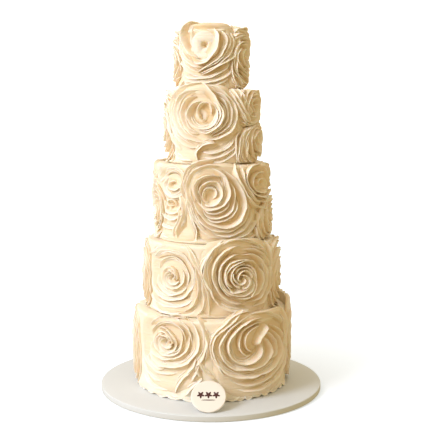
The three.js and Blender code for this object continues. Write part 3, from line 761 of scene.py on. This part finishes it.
def bud(rose, reach):
    """Height of the low dome round a rose's eye: level, open at the eye, rounded off outside, by
    a smooth step at each side."""
    height, opening, end = rose.get("bud", (0, 1, 1))
    opened = smooth_step((reach - opening * 0.6) / (opening * 0.6))
    return height * opened * (1 - smooth_step((reach - end) / 5))


def shaded(rose, reach):
    """Where painted shade goes: 1 in a rose's eye and in the dip round its bud, 0 elsewhere,
    by smooth steps.
    """
    _, opening, end = rose.get("bud", (0, 5, 0))
    eye = 1 - smooth_step(reach / opening)
    dip = smooth_step((reach - end) / 4) * (1 - smooth_step((reach - end - 10) / 6))
    return eye + dip * ("bud" in rose)


def rose_base(rose, others, tier):
    """The icing that carries a rose's petals: a shallow bowl, closed by a back in the tier. Both
    are grids of the angle round the eye and the share of the outline."""
    columns = 96
    angle = np.arange(columns + 1) / columns * 2 * math.pi
    share = np.linspace(0, 1, 36)[:, None]
    angle, share = np.broadcast_arrays(angle[None, :], share)
    edge = outline(rose, others, tier, facing(angle[0]))
    back = share[::-1]
    level = rose["height"] + back * edge * np.sin(angle)
    above = smooth_step((level - (tier["top"] - tier["foot"]) + 8) / 6)
    reach = np.concatenate([share, back]) * edge
    dome = bud(rose, share * edge)
    # The crest value that the buttercream paints by: a painted highlight raises it a little on the bud, and
    # painted shade lowers it in the eye and in the dip round the bud.
    pale = 0.4 + 0.06 * dome - 0.4 * shaded(rose, share * edge)
    out = np.concatenate([bowl(share) + dome, ROOT + (THIN_ROOT - ROOT) * above])
    crest = np.concatenate([pale, 0.4 + 0 * pale])
    angle = np.concatenate([angle, angle])
    across = reach * np.cos(angle)
    height = reach * np.sin(angle)
    shape = np.stack([across, height, out, crest], axis=-1).reshape(-1, 4)
    flow = np.stack([across, height], axis=-1).reshape(-1, 2)
    return shape, grid_faces(len(reach), columns + 1), flow


def longest_run(flags):
    """Start and end of the longest stretch of true values."""
    edges = np.flatnonzero(np.diff(np.concatenate([[0], flags.astype(int), [0]])))
    starts, ends = edges[::2], edges[1::2]
    if not len(starts):
        return 0, 0
    best = np.argmax(ends - starts)
    return starts[best], ends[best]


def through(points):
    """A smooth run through points: a cubic between each two, whose slopes come from the
    points on either side, sampled at about equal steps."""
    points = np.array(points, float)
    before = np.concatenate([2 * points[:1] - points[1:2], points[:-1]])
    after = np.concatenate([points[1:], 2 * points[-1:] - points[-2:-1]])
    slope = (after - before) / 2
    way = np.linspace(0, len(points) - 1, 40 * len(points))
    index = np.minimum(way.astype(int), len(points) - 2)
    part = (way - index)[:, None]
    start, end = points[index], points[index + 1]
    run = (2 * part**3 - 3 * part**2 + 1) * start + (3 * part**2 - 2 * part**3) * end
    run += (part**3 - 2 * part**2 + part) * slope[index] + (part**3 - part**2) * slope[index + 1]
    length = np.concatenate([[0], np.cumsum(np.hypot(*np.diff(run, axis=0).T))])
    count = int(np.clip(length[-1] / PATH_STEP, 16, 170))
    places = np.linspace(0, length[-1], count)
    return np.stack([np.interp(places, length, values) for values in run.T])


def placed_petals(rose, others, tier, strokes, seed):
    """Petals whose edges run through given points: each one's foot follows the bowl, its edge
    sinks towards the rim, and its slope faces the eye."""
    random = np.random.default_rng(seed)
    eye = (math.radians(rose["angle"]) * tier["radius"], rose["height"])
    blades = []
    for rise, wide, pixels in strokes:
        across, height = through(seen_on_wall(pixels, tier) - eye)
        reach = np.hypot(across, height)
        directions = np.stack([across, height], axis=-1) / np.maximum(reach, TINY)[:, None]
        share = np.minimum(reach / outline(rose, others, tier, directions), 1)
        low = bowl(share) + bud(rose, reach) - BURIED
        rise = rise * rose.get("rise", 1)
        top = EDGE_RISE * rise * (1 - 0.25 * smooth_step((share - 0.6) / 0.4))
        turning = np.gradient(across) * -height + np.gradient(height) * across
        side = 1 if turning.sum() > 0 else -1
        lean = 1.6 * smooth_step(reach / 20)
        narrow = np.minimum(wide, reach * 0.8 + 1)
        # The tallest petals have the thinnest flanks.
        back = back_width(across, height) * (0.25 if rise > 1.2 else 1)
        blades += petal(across, height, low, top, narrow, back, lean, side, PLACED_ENDS, random)
    return blades


def wound_path(rose, arm, first, travelled, sweep, random):
    """Angle and distance from the eye along one petal of an arm. The distance grows with the
    rings wound so far, by a straight part and a small square. The petal starts tucked in and
    ends flared, by smooth steps, and slow waves of the angle make it uneven."""
    arms, pitch = rose["arms"], rose.get("pitch", PITCH)
    part = np.linspace(0, 1, 400)
    wound = travelled + sweep * part
    angle = np.radians(first + rose["turn"] * (wound + 360 * arm / arms))
    rings = np.maximum(arms * wound / 360, 0)
    radius = rose.get("hole", HOLE) + pitch * (0.8 * rings + 0.035 * rings**2)
    shift = random.uniform(-0.2, 0.2) - 0.5 * (1 - smooth_step(part / 0.3))
    shift = shift + 0.4 * smooth_step((part - 0.65) / 0.35)
    swing = np.sin(2 * angle + random.uniform(0, 6)) * 0.16
    swing = swing + np.sin(3 * angle + random.uniform(0, 6)) * 0.1
    return angle, radius + (shift + swing) * pitch * smooth_step(radius / 14)


def open_stretch(rose, others, tier, angle, radius):
    """The longest stretch of a petal's path that stays off the neighbours: its angle, how far
    it reaches, and how far it would reach if it were free of them. None where it is short."""
    directions = facing(angle)
    free = circle_reach(rose, directions) * np.maximum(radius, 1.0) / rose["radius"]
    limit = wall_limit(rose, others, tier, directions)
    inside = (free < limit * 1.1) & (radius < rose["radius"] * SPREAD * 1.04)
    begin, end = longest_run(inside)
    if end - begin < 12:
        return None
    free, limit, angle = free[begin:end], limit[begin:end], angle[begin:end]
    reach = softly([free, limit], 9)
    length = np.hypot(np.gradient(reach), reach * np.gradient(angle)).sum()
    if length < 14:
        return None
    count = int(np.clip(length / WOUND_STEP, 24, 110))
    pick = np.linspace(0, len(free) - 1, count)
    places = np.arange(len(free))
    return [np.interp(pick, places, values) for values in (angle, reach, free)]


def wound_petal(rose, others, tier, angle, reach, free, random):
    """A petal along a stretch of its path. Its edge sinks towards the rim, and its slope is
    narrower where a neighbour bunches the petals, by a power of reach over free."""
    share = reach / outline(rose, others, tier, facing(angle))
    low = bowl(share) + bud(rose, reach) - BURIED
    rise = EDGE_RISE * rose.get("rise", 1) * random.uniform(0.86, 1.1)
    top = rise + (RIM_RISE - rise) * smooth_step((share - 0.55) / 0.4)
    bunch = np.clip((reach / free) ** 9, 0.4, 1)
    wide = rose.get("pitch", PITCH) * random.uniform(1.25, 1.6) * bunch
    wide = np.minimum(wide, reach * 0.85 + 0.5)
    lean = random.uniform(0.6, 2.2) * smooth_step(reach / 20)
    across, height = reach * np.cos(angle), reach * np.sin(angle)
    back = back_width(across, height)
    return petal(across, height, low, top, wide, back, lean, rose["turn"], WOUND_ENDS, random)


def rose_petals(rose, others, tier, seed):
    """The petals, from the eye outwards. They follow arms that wind outwards, an equal space
    apart, and each arm is a chain of petals: every one starts tucked in behind the last. Where
    an arm would run over a neighbour it dies away, and its edges bunch."""
    random = np.random.default_rng(seed)
    last = rose.get("core", rose["radius"] * SPREAD)
    first = random.uniform(0, 360)
    blades = []
    for arm in range(rose["arms"]):
        travelled = random.uniform(-25, 25)
        while True:
            sweep = random.uniform(150, 240) * (1.5 if travelled < 90 else 1)
            angle, radius = wound_path(rose, arm, first, travelled, sweep, random)
            if radius.min() > last:
                break
            travelled += sweep - random.uniform(20, 50)
            stretch = open_stretch(rose, others, tier, angle, radius)
            if stretch is not None:
                blades += wound_petal(rose, others, tier, *stretch, random)
    return blades


def wrapped(parts, tier, angle, height, lift=0):
    """Puts parts together and wraps them on a tier's wall round a place on it, lift farther
    out."""
    starts = np.cumsum([0] + [len(shape) for shape, _, _ in parts])
    faces = np.concatenate([faces + start for (_, faces, _), start in zip(parts, starts)])
    shape = np.concatenate([shape for shape, _, _ in parts])
    flow = np.concatenate([flow for _, _, flow in parts]) * MM
    across = math.radians(angle) * tier["radius"] + shape[:, 0]
    level = tier["foot"] + height + shape[:, 1]
    points = on_wall(tier["radius"], across, level, shape[:, 2] + lift)
    return points, faces, shape[:, 3], flow


def rose_surface(rose, others, tier, strokes, seed):
    """A rose's base and petals, wrapped on its tier. The petals run by rule where STROKES places
    none, and in the core where it places only the outer ones."""
    petals = placed_petals(rose, others, tier, strokes, seed)
    if not strokes or "core" in rose:
        petals += rose_petals(rose, others, tier, seed + 500)
    parts = [rose_base(rose, others, tier), *petals]
    return wrapped(parts, tier, rose["angle"], rose["height"], rose.get("lift", 0))


# ---------------------------------------------------------------- finishes


class Wire:
    """A socket in an expression: sums and products of wires add their Math nodes."""

    def __init__(self, finish, socket):
        self.finish = finish
        self.socket = socket

    def _math(self, operation, first, second):
        return self.finish.node("ShaderNodeMath", {"operation": operation}, {0: first, 1: second})

    def __add__(self, other):
        return self._math("ADD", self, other)

    def __radd__(self, other):
        return self._math("ADD", other, self)

    def __sub__(self, other):
        return self._math("SUBTRACT", self, other)

    def __rsub__(self, other):
        return self._math("SUBTRACT", other, self)

    def __mul__(self, other):
        return self._math("MULTIPLY", self, other)

    def __rmul__(self, other):
        return self._math("MULTIPLY", other, self)

    def __pow__(self, other):
        return self._math("POWER", self, other)


class Finish:
    """A material with one shader. set() gives the shader's own sockets their values or wires, and
    node() adds any other node: its settings first, then its sockets."""

    def __init__(self, name, **sockets):
        self.material = bpy.data.materials.new(name)
        self.material.use_nodes = True
        self.tree = self.material.node_tree
        self.tree.nodes.clear()
        self.shader = self.tree.nodes.new("ShaderNodeBsdfPrincipled")
        out = self.tree.nodes.new("ShaderNodeOutputMaterial")
        self.tree.links.new(self.shader.outputs[0], out.inputs[0])
        self.coordinates = self.node("ShaderNodeTexCoord", {}, {}, output="Object")
        self.set(**sockets)

    def feed(self, socket, value):
        """Links a wire to a socket, or sets the socket to a constant."""
        if isinstance(value, Wire):
            self.tree.links.new(value.socket, socket)
        else:
            socket.default_value = value

    def set(self, **sockets):
        """Feeds sockets of the shader itself."""
        for name, value in sockets.items():
            self.feed(self.shader.inputs[name.replace("_", " ")], value)
        return self.material

    def node(self, kind, settings, sockets, output=0):
        """Adds a node and gives one of its outputs as a wire."""
        made = self.tree.nodes.new(kind)
        for key, value in settings.items():
            setattr(made, key, value)
        for key, value in sockets.items():
            self.feed(made.inputs[key], value)
        return Wire(self, made.outputs[output])

    def noise(self, scale, detail=3.0, vector=None, roughness=0.5):
        """Noise over Object coordinates, or over another vector."""
        sockets = {"Scale": scale, "Detail": detail, "Roughness": roughness}
        sockets["Vector"] = vector or self.coordinates
        return self.node("ShaderNodeTexNoise", {}, sockets)

    def blend(self, factor, first, second):
        """Mixes two colours, from the first at 0 to the second at 1."""
        settings = {"data_type": "RGBA", "clamp_factor": True}
        sockets = {"Factor": factor, 6: first, 7: second}
        return self.node("ShaderNodeMix", settings, sockets, output=2)

    def bump(self, height, distance, strength):
        """A normal that leans with the slope of height."""
        sockets = {"Height": height, "Distance": distance, "Strength": strength}
        return self.node("ShaderNodeBump", {}, sockets)


def colour(red, green, blue):
    """A screen colour, 0 to 255, as linear light."""
    shares = np.array([red, green, blue]) / 255
    light = np.where(shares <= 0.04045, shares / 12.92, ((shares + 0.055) / 1.055) ** 2.4)
    return (*map(float, light), 1.0)


def icing_finish(name):
    """What both icings share: light sinks a little way in, and the sheen is faint."""
    return Finish(
        name, Subsurface_Weight=0.22, Subsurface_Scale=0.002,
        Subsurface_Radius=(1.0, 0.62, 0.34), Specular_IOR_Level=0.16,
    )


def buttercream():
    """Ivory buttercream with drag lines; painted highlight on the petals' edges, and painted shade
    in the dips and in the drag lines' grooves.
    """
    finish = icing_finish("buttercream")
    crest = finish.node("ShaderNodeAttribute", {"attribute_name": "crest"}, {}, output=2)
    flow = finish.node("ShaderNodeUVMap", {"uv_map": "flow"}, {})
    lines = finish.node("ShaderNodeMapping", {}, {"Vector": flow, "Scale": (18, 330, 1)})
    drag = finish.noise(1.0, 3.0, lines, 0.6)
    mottle = finish.noise(14, 4)
    grain = finish.noise(700, 2)
    body = finish.blend(mottle, colour(248, 238, 220), colour(244, 232, 210))
    # Painted highlight: the petals' edges, where the crest value is high, are paled.
    edge = finish.blend(crest**2.0, body, colour(252, 244, 232))
    # Painted shade: the dips, where the crest value is low, are darkened to tan.
    painted_shade = finish.blend((1 - crest) ** 1.8 * 0.56, edge, colour(229, 190, 124))
    # Painted shade: where the drag lines' bump is lowest, in their grooves, the colour turns darker tan.
    painted_groove_shade = finish.blend((1 - drag) ** 3.0 * 0.9, painted_shade, colour(238, 214, 170))
    height = drag * 0.85 + grain * 0.1
    finish.set(Base_Color=painted_groove_shade, Roughness=0.4 + drag * 0.16)
    return finish.set(Normal=finish.bump(height, 0.0024, 0.7))


def smooth_icing():
    """The same icing spread with a palette knife: soft level strokes round the drum."""
    finish = icing_finish("icing")
    strokes = finish.node(
        "ShaderNodeMapping", {}, {"Vector": finish.coordinates, "Scale": (9, 9, 150)}
    )
    drag = finish.noise(1.0, 4.0, strokes)
    mottle = finish.noise(11, 4)
    body = finish.blend(mottle, colour(248, 238, 219), colour(244, 231, 208))
    finish.set(Base_Color=body, Roughness=0.42 + drag * 0.16)
    return finish.set(Normal=finish.bump(drag, 0.0012, 0.4))


def board_cover():
    """Matte ivory board covering, faintly mottled."""
    finish = Finish("board_cover", Specular_IOR_Level=0.3)
    mottle = finish.noise(9, 5)
    weave = finish.noise(900, 2)
    body = finish.blend(mottle, colour(219, 223, 225), colour(214, 218, 219))
    finish.set(Base_Color=body, Roughness=0.5 + mottle * 0.12)
    return finish.set(Normal=finish.bump(weave, 0.0002, 0.25))


def plaque_face():
    """Satin ivory disc."""
    finish = Finish("plaque_disc", Specular_IOR_Level=0.4)
    mottle = finish.noise(30, 3)
    body = finish.blend(mottle, colour(241, 236, 226), colour(237, 230, 219))
    return finish.set(Base_Color=body, Roughness=0.34 + mottle * 0.1)


def plaque_ink():
    """Dark brown print."""
    finish = Finish("plaque_mark", Specular_IOR_Level=0.3)
    mottle = finish.noise(200, 2)
    body = finish.blend(mottle, colour(74, 40, 38), colour(84, 48, 44))
    return finish.set(Base_Color=body, Roughness=0.5)


def stage_finish(name, near, far):
    """Matte, near-white, with a glow that keeps shadows on it pale: near and far are its
    colour under the cake and from GLOW_END metres away."""
    finish = Finish(name, Specular_IOR_Level=0.1, Emission_Strength=1.0)
    mottle = finish.noise(2, 2)
    body = finish.blend(mottle, colour(243, 243, 243), colour(245, 245, 245))
    settings = {"operation": "LENGTH"}
    away = finish.node("ShaderNodeVectorMath", settings, {0: finish.coordinates}, output=1)
    glow = finish.blend((away - GLOW_START) * (1 / (GLOW_END - GLOW_START)), (*near, 1), (*far, 1))
    return finish.set(Base_Color=body, Emission_Color=glow, Roughness=0.9)


BUTTERCREAM = buttercream()
ICING = smooth_icing()
BOARD_COVER = board_cover()
PLAQUE_FACE = plaque_face()
PLAQUE_MARK = plaque_ink()


# ---------------------------------------------------------------- pieces


def turned(name, radius, height, finish, sides=256, nodes=(), waver=None, place=None):
    """A closed body of revolution. radius and height run from the axis below to the axis
    above; waver adds to both, as a function of the turn and the place on the profile, and
    place moves the finished points."""
    turn = np.arange(sides) / sides * 2 * math.pi
    radii = np.array(radius, float)[:, None] + np.zeros(sides)
    heights = np.array(height, float)[:, None] + np.zeros(sides)
    if waver:
        more_radius, more_height = waver(turn[None, :], radii, heights)
        radii, heights = radii + more_radius, heights + more_height
    points = np.stack([radii * np.cos(turn), radii * np.sin(turn), heights], axis=-1)
    points = (place(points) if place else points) * MM
    faces = grid_faces(len(radii), sides, closed=True)[:, ::-1]
    flow = np.stack([turn * radii, heights], axis=-1).reshape(-1, 2) * MM
    add_piece(name, points.reshape(-1, 3), faces, finish, None, flow, nodes)


def neighbours(level, rose):
    """The other roses of a rose's tier."""
    return [other for other in ROSES[level - 1] if other is not rose]


def covered(level, angle, height):
    """1 behind a tier's roses and 0 between them, from each rose's share of its outline."""
    tier = TIERS[level - 1]
    result = np.zeros(np.shape(angle))
    for rose in ROSES[level - 1]:
        turn = (angle - math.radians(rose["angle"]) + math.pi) % (2 * math.pi) - math.pi
        place = np.stack([turn * tier["radius"], height - rose["height"]], axis=-1)
        distance = np.maximum(np.linalg.norm(place, axis=-1), TINY)
        directions = (place / distance[..., None]).reshape(-1, 2)
        edge = outline(rose, neighbours(level, rose), tier, directions).reshape(distance.shape)
        result = np.maximum(result, smooth_step((1 - distance / edge) / 0.12))
    return result


def tier_profile(radius, foot, top):
    """Radii and heights of a drum from the axis below to the axis above: the foot is drawn in
    where it meets what it stands on, the top edge is a quarter circle, and the top is level."""
    wall = np.linspace(foot + 3, top - TIER_EDGE, 36)
    bend = np.linspace(0, math.pi / 2, 8)[1:]
    edge_radius = radius - TIER_EDGE + TIER_EDGE * np.cos(bend)
    edge_height = top - TIER_EDGE + TIER_EDGE * np.sin(bend)
    face = np.linspace(radius - TIER_EDGE, 0, 30)[1:]
    foot_radii = [0, radius - 5, radius - 3.4, radius - 1.4]
    foot_heights = [foot, foot, foot + 0.5, foot + 1.7]
    radii = np.concatenate([foot_radii, 0 * wall + radius, edge_radius, face])
    heights = np.concatenate([foot_heights, wall, edge_height, 0 * face + top])
    return radii, heights


def uneven_wall(level, turn, up):
    """How far a tier's wall stands out: sums of long waves and of shorter ones, and the
    knife's level strokes. up is the height over the tier's radius."""
    uneven = ripples(SEED + level, turn, up, 9, 2, 9) * 0.35
    uneven = uneven + ripples(SEED + 60 + level, turn, up * 1.6, 8, 5, 15) * 0.75
    strokes = ripples(SEED + 20 + level, turn, up * 6, 7, 1, 4) * 0.22
    return uneven + strokes


def uneven_top(level, turn, radii, radius):
    """How high a tier's top stands: rings that wind slowly, as sines of the distance from the
    axis and the turn, and a ragged edge in place of them within a few millimetres of the rim."""
    rounds = np.sin(radii * 0.55 + turn * 2) * 0.3 + np.sin(radii * 0.21 - turn) * 0.35
    ragged = ripples(SEED + 40 + level, turn, 0 * radii, 7, 5, 24) * 0.5
    near_edge = np.exp(-(((radii - radius + 4) / 4) ** 2))
    return rounds * (1 - near_edge) + ragged * near_edge


def tier_piece(level):
    """An iced drum with an uneven wall and top. Its skin is drawn in behind the roses."""
    tier = TIERS[level - 1]
    radius, foot, top = tier["radius"], tier["foot"], tier["top"]

    def waver(turn, radii, heights):
        """What the wall, the top and the roses add. Smooth steps keep the wall's share from the
        foot and from the top, and the top's share from the wall and from the axis."""
        clear = smooth_step((heights - foot) / 6)
        on_top = smooth_step((heights - top + 1.5) / 1.5)
        more_radius = uneven_wall(level, turn, heights / radius) * clear * (1 - on_top)
        # turn runs from +X, and the roses' angles run from the front, at -Y.
        around = (turn + math.pi / 2 + math.pi) % (2 * math.pi) - math.pi
        behind = covered(level, around + 0 * heights, heights - foot)
        behind = behind * smooth_step((top - 5 - heights) / 7) * smooth_step((heights - foot) / 5)
        more_radius = more_radius - HOLLOW * behind * (radii > radius - 1.5)
        inward = smooth_step(radii / 12)
        more_height = on_top * inward * uneven_top(level, turn, radii, radius)
        return more_radius * (radii > 1), more_height

    radii, heights = tier_profile(radius, foot, top)
    name = f"iced_tier_{level}"
    turned(name, radii, heights, ICING, 256, [f"tier_{level}"], waver)


def rose_piece(level, place):
    """One piped rose, which stands for its node."""
    rose = ROSES[level - 1][place]
    strokes = STROKES.get((level, place + 1), [])
    seed = SEED * 100 + level * 10 + place
    points, faces, crest, flow = rose_surface(
        rose, neighbours(level, rose), TIERS[level - 1], strokes, seed
    )
    node = f"rose_{level}_{place + 1}"
    add_piece(f"piped_{node}", points, faces, BUTTERCREAM, crest, flow, [node])


def foot_scallops(tier):
    """Short hanging petals that overlap one another round the foot of a tier. Each one's edge
    hangs lowest in its middle, by a flattened sine, and one end may stand higher."""
    random = np.random.default_rng(SEED + 9)
    part = np.linspace(0, 1, 24)
    made = []
    angle = 0.0
    while angle < 360:
        step = random.uniform(5, 14)
        start = math.radians(angle) * tier["radius"]
        across = start + math.radians(step * 1.5) * tier["radius"] * part
        slope = random.uniform(-8, 14)
        height = 1.0 + random.uniform(4, 12) * (1 - np.sin(math.pi * part) ** 0.7)
        height = height + np.maximum(slope * (part - 0.5), 0)
        low = 0 * part + FOLD_ROOT
        top = 0 * part + random.uniform(-0.6, 1.8)
        wide = random.uniform(9, 15)
        made += petal(across, height, low, top, wide, 0.8, 0.6, 1, SCALLOP_ENDS, random)
        angle += step
    return made


def fold_piece(level):
    """The long folds of one tier, each a petal along its run. Tier 1 also has the scallops round
    its foot."""
    tier = TIERS[level - 1]
    runs = [(*fold, seen_on_wall(pixels, tier)) for *fold, pixels in FOLDS]
    scale = (math.radians(1) * tier["radius"], 1)
    runs += [(*fold, np.multiply(points, scale)) for *fold, points in SIDE_FOLDS]
    blades = []
    for number, (fold_level, rise, wide, side, points) in enumerate(runs):
        if fold_level != level:
            continue
        across, height = through(points)
        low = 0 * across + FOLD_ROOT
        top = 0 * across + rise
        random = np.random.default_rng(SEED * 1000 + number)
        blades += petal(across, height, low, top, wide, 1.2, 1.6, side, FOLD_ENDS, random)
    if level == 1:
        blades += foot_scallops(tier)
    points, faces, crest, flow = wrapped(blades, tier, 0, 0)
    nodes = [f"fold_{level}"] if level < 3 else []
    name = f"piped_folds_{level}"
    add_piece(name, points, faces, BUTTERCREAM, crest, flow, nodes)


def board_piece():
    """A flat round board whose profile runs out along the underside, round a quarter circle at
    each edge, and back in along the top."""
    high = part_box("board")[1]
    radius, top = high.x / MM, high.z / MM
    bend = np.linspace(0, math.pi / 2, 6)
    low_radius = radius - BOARD_EDGE + BOARD_EDGE * np.sin(bend)
    low_height = BOARD_EDGE - BOARD_EDGE * np.cos(bend)
    high_radius = radius - BOARD_EDGE + BOARD_EDGE * np.cos(bend)
    high_height = top - BOARD_EDGE + BOARD_EDGE * np.sin(bend)
    face = np.linspace(radius - BOARD_EDGE, 0, 12)[1:]
    radii = np.concatenate([[0], low_radius, high_radius, face])
    heights = np.concatenate([[0], low_height, high_height, 0 * face + top])
    turned("covered_board", radii, heights, BOARD_COVER, 256, ["board"])


def on_plaque(points):
    """Turns places on a level disc round the origin into places on the leaning plaque."""
    low, high = (np.array(corner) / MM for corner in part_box("plaque"))
    middle = (low + high) / 2
    lean = math.radians(PLAQUE_LEAN)
    across = np.array([1.0, 0.0, 0.0])
    up = np.array([0.0, math.sin(lean), math.cos(lean)])
    out = np.array([0.0, -math.cos(lean), math.sin(lean)])
    return middle + points @ np.stack([across, up, out])


def plaque_piece():
    """A round disc with a rounded edge, leaning on the foot of the lowest tier."""
    low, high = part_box("plaque")
    radius = (high.x - low.x) / MM / 2
    half = PLAQUE_THICKNESS / 2
    bend = np.linspace(-math.pi / 2, math.pi / 2, 13)
    rim = radius - half + half * np.cos(bend)
    face = np.linspace(radius - half, 0, 8)[1:]
    radii = np.concatenate([face[::-1], rim, face])
    heights = np.concatenate([0 * face - half, half * np.sin(bend), 0 * face + half])
    turned(
        "plaque_disc", radii, heights, PLAQUE_FACE, 128, ["plaque"], None, on_plaque
    )


def blossom_reach(turn):
    """Five lobes: a wave of five cycles round a circle."""
    return BLOSSOM * (0.74 + 0.26 * np.cos(5 * turn + math.pi / 2))


def line_reach(turn):
    """A long thin ellipse."""
    long_half, thin_half = LINE_REACH
    return 1 / np.hypot(np.cos(turn) / long_half, np.sin(turn) / thin_half)


def print_piece(name, across, up, reach):
    """A flat print with a soft edge, across and up from the plaque's middle. reach gives its
    outline in each direction."""
    back, face = PLAQUE_THICKNESS / 2 - PRINT_SUNK, PLAQUE_THICKNESS / 2 + PRINT_PROUD
    radii = [0, 1.0, 1.0, 0.95, 0.7, 0]
    heights = [back, back, face - 0.1, face, face, face]

    def spread(turn, radii, heights):
        """Stretches a circle of radius 1 to the outline."""
        return radii * (reach(turn) - 1), 0 * heights

    def place(points):
        """Shifts the print in the plaque's plane."""
        return on_plaque(points + np.array([across, up, 0.0]))

    turned(name, radii, heights, PLAQUE_MARK, 100, (), spread, place)


def plaque_mark():
    """Three plain five-lobed blossoms in a row on the plaque, and a short line under them."""
    for number, shift in enumerate((-BLOSSOM_SPACE, 0.0, BLOSSOM_SPACE), start=1):
        print_piece(f"plaque_blossom_{number}", shift, BLOSSOM_UP, blossom_reach)
    print_piece("plaque_line", 0.0, LINE_UP, line_reach)


# ---------------------------------------------------------------- camera, light and floor


def make_camera():
    """Level with the fourth tier, looking slightly down."""
    data = bpy.data.cameras.new("camera")
    data.sensor_width = 36
    data.lens = data.sensor_width * FOCAL_PIXELS / FRAME_PIXELS
    data.shift_x = SHIFT_PIXELS / FRAME_PIXELS
    camera = bpy.data.objects.new("camera", data)
    camera.location = (0, -CAMERA_DISTANCE * MM, CAMERA_HEIGHT * MM)
    camera.rotation_euler = (math.pi / 2 - CAMERA_DOWN, 0, 0)
    bpy.context.scene.collection.objects.link(camera)
    bpy.context.scene.camera = camera


def add_light(name, kind, energy, tint, tilt, turn, location=(0, 0, 0)):
    """A light that points straight down, then tilts and turns by degrees."""
    light = bpy.data.lights.new(name, kind)
    light.energy = energy
    light.color = tint
    holder = bpy.data.objects.new(name, light)
    holder.location = location
    holder.rotation_euler = (math.radians(tilt), 0, math.radians(turn))
    bpy.context.scene.collection.objects.link(holder)
    return light


def make_light():
    """A broad disc lamp high at the front left, soft distant light from above, from the left and
    from behind, and a warm world that fills the shadows."""
    key = add_light("key", "AREA", 28.5, (0.95, 1.01, 1.19), 62, -50, (-1.42, -1.19, 1.29))
    key.shape = "DISK"
    key.size = 0.9
    above = add_light("top", "SUN", 0.65, (0.88, 0.96, 1.04), 0, 0)
    above.angle = math.radians(100)
    left = add_light("left", "SUN", 0.95, (0.93, 1.01, 1.2), 74, -80)
    left.angle = math.radians(110)
    behind = add_light("back", "SUN", 0.35, (1, 1, 1), 70, 170)
    behind.angle = math.radians(90)
    world = bpy.data.worlds.new("studio")
    world.use_nodes = True
    background = world.node_tree.nodes["Background"]
    background.inputs["Color"].default_value = (1, 0.77, 0.39, 1)
    background.inputs["Strength"].default_value = 0.57
    bpy.context.scene.world = world


def stage_piece(name, points, faces, finish):
    """A mesh of the stage. It throws no light back on the cake."""
    mesh = bpy.data.meshes.new(name)
    mesh.from_pydata(points, [], faces)
    mesh.materials.append(finish)
    piece = bpy.data.objects.new(name, mesh)
    piece.visible_diffuse = False
    piece.visible_glossy = False
    bpy.context.scene.collection.objects.link(piece)
    return piece


def make_floor():
    """A round pale floor, with a pale backdrop all round it."""
    sides, reach, low, high = 96, 12.0, -0.0005, 9.0
    turn = np.arange(sides) / sides * 2 * math.pi
    ring = np.stack([reach * np.cos(turn), reach * np.sin(turn)], axis=-1)
    floor = np.column_stack([ring, np.full(sides, low)])
    pale = stage_finish("floor", (0.2, 0.29, 0.4), (0.5, 0.7, 0.9))
    stage_piece("floor", floor.tolist(), [tuple(range(sides))], pale)
    top = np.column_stack([ring, np.full(sides, high)])
    after = (np.arange(sides) + 1) % sides
    place = np.arange(sides)
    faces = np.stack([place, place + sides, after + sides, after], axis=-1)
    white = stage_finish("backdrop", (1.2, 1.2, 1.2), (1.2, 1.2, 1.2))
    points = np.concatenate([floor, top]).tolist()
    backdrop = stage_piece("backdrop", points, faces.tolist(), white)
    backdrop.visible_shadow = False


make_camera()
make_light()
make_floor()
bpy.context.scene.view_settings.view_transform = "Standard"

board_piece()
plaque_piece()
plaque_mark()
for level in range(1, LEVELS + 1):
    tier_piece(level)
    fold_piece(level)
    for place in range(len(ROSES[level - 1])):
        rose_piece(level, place)
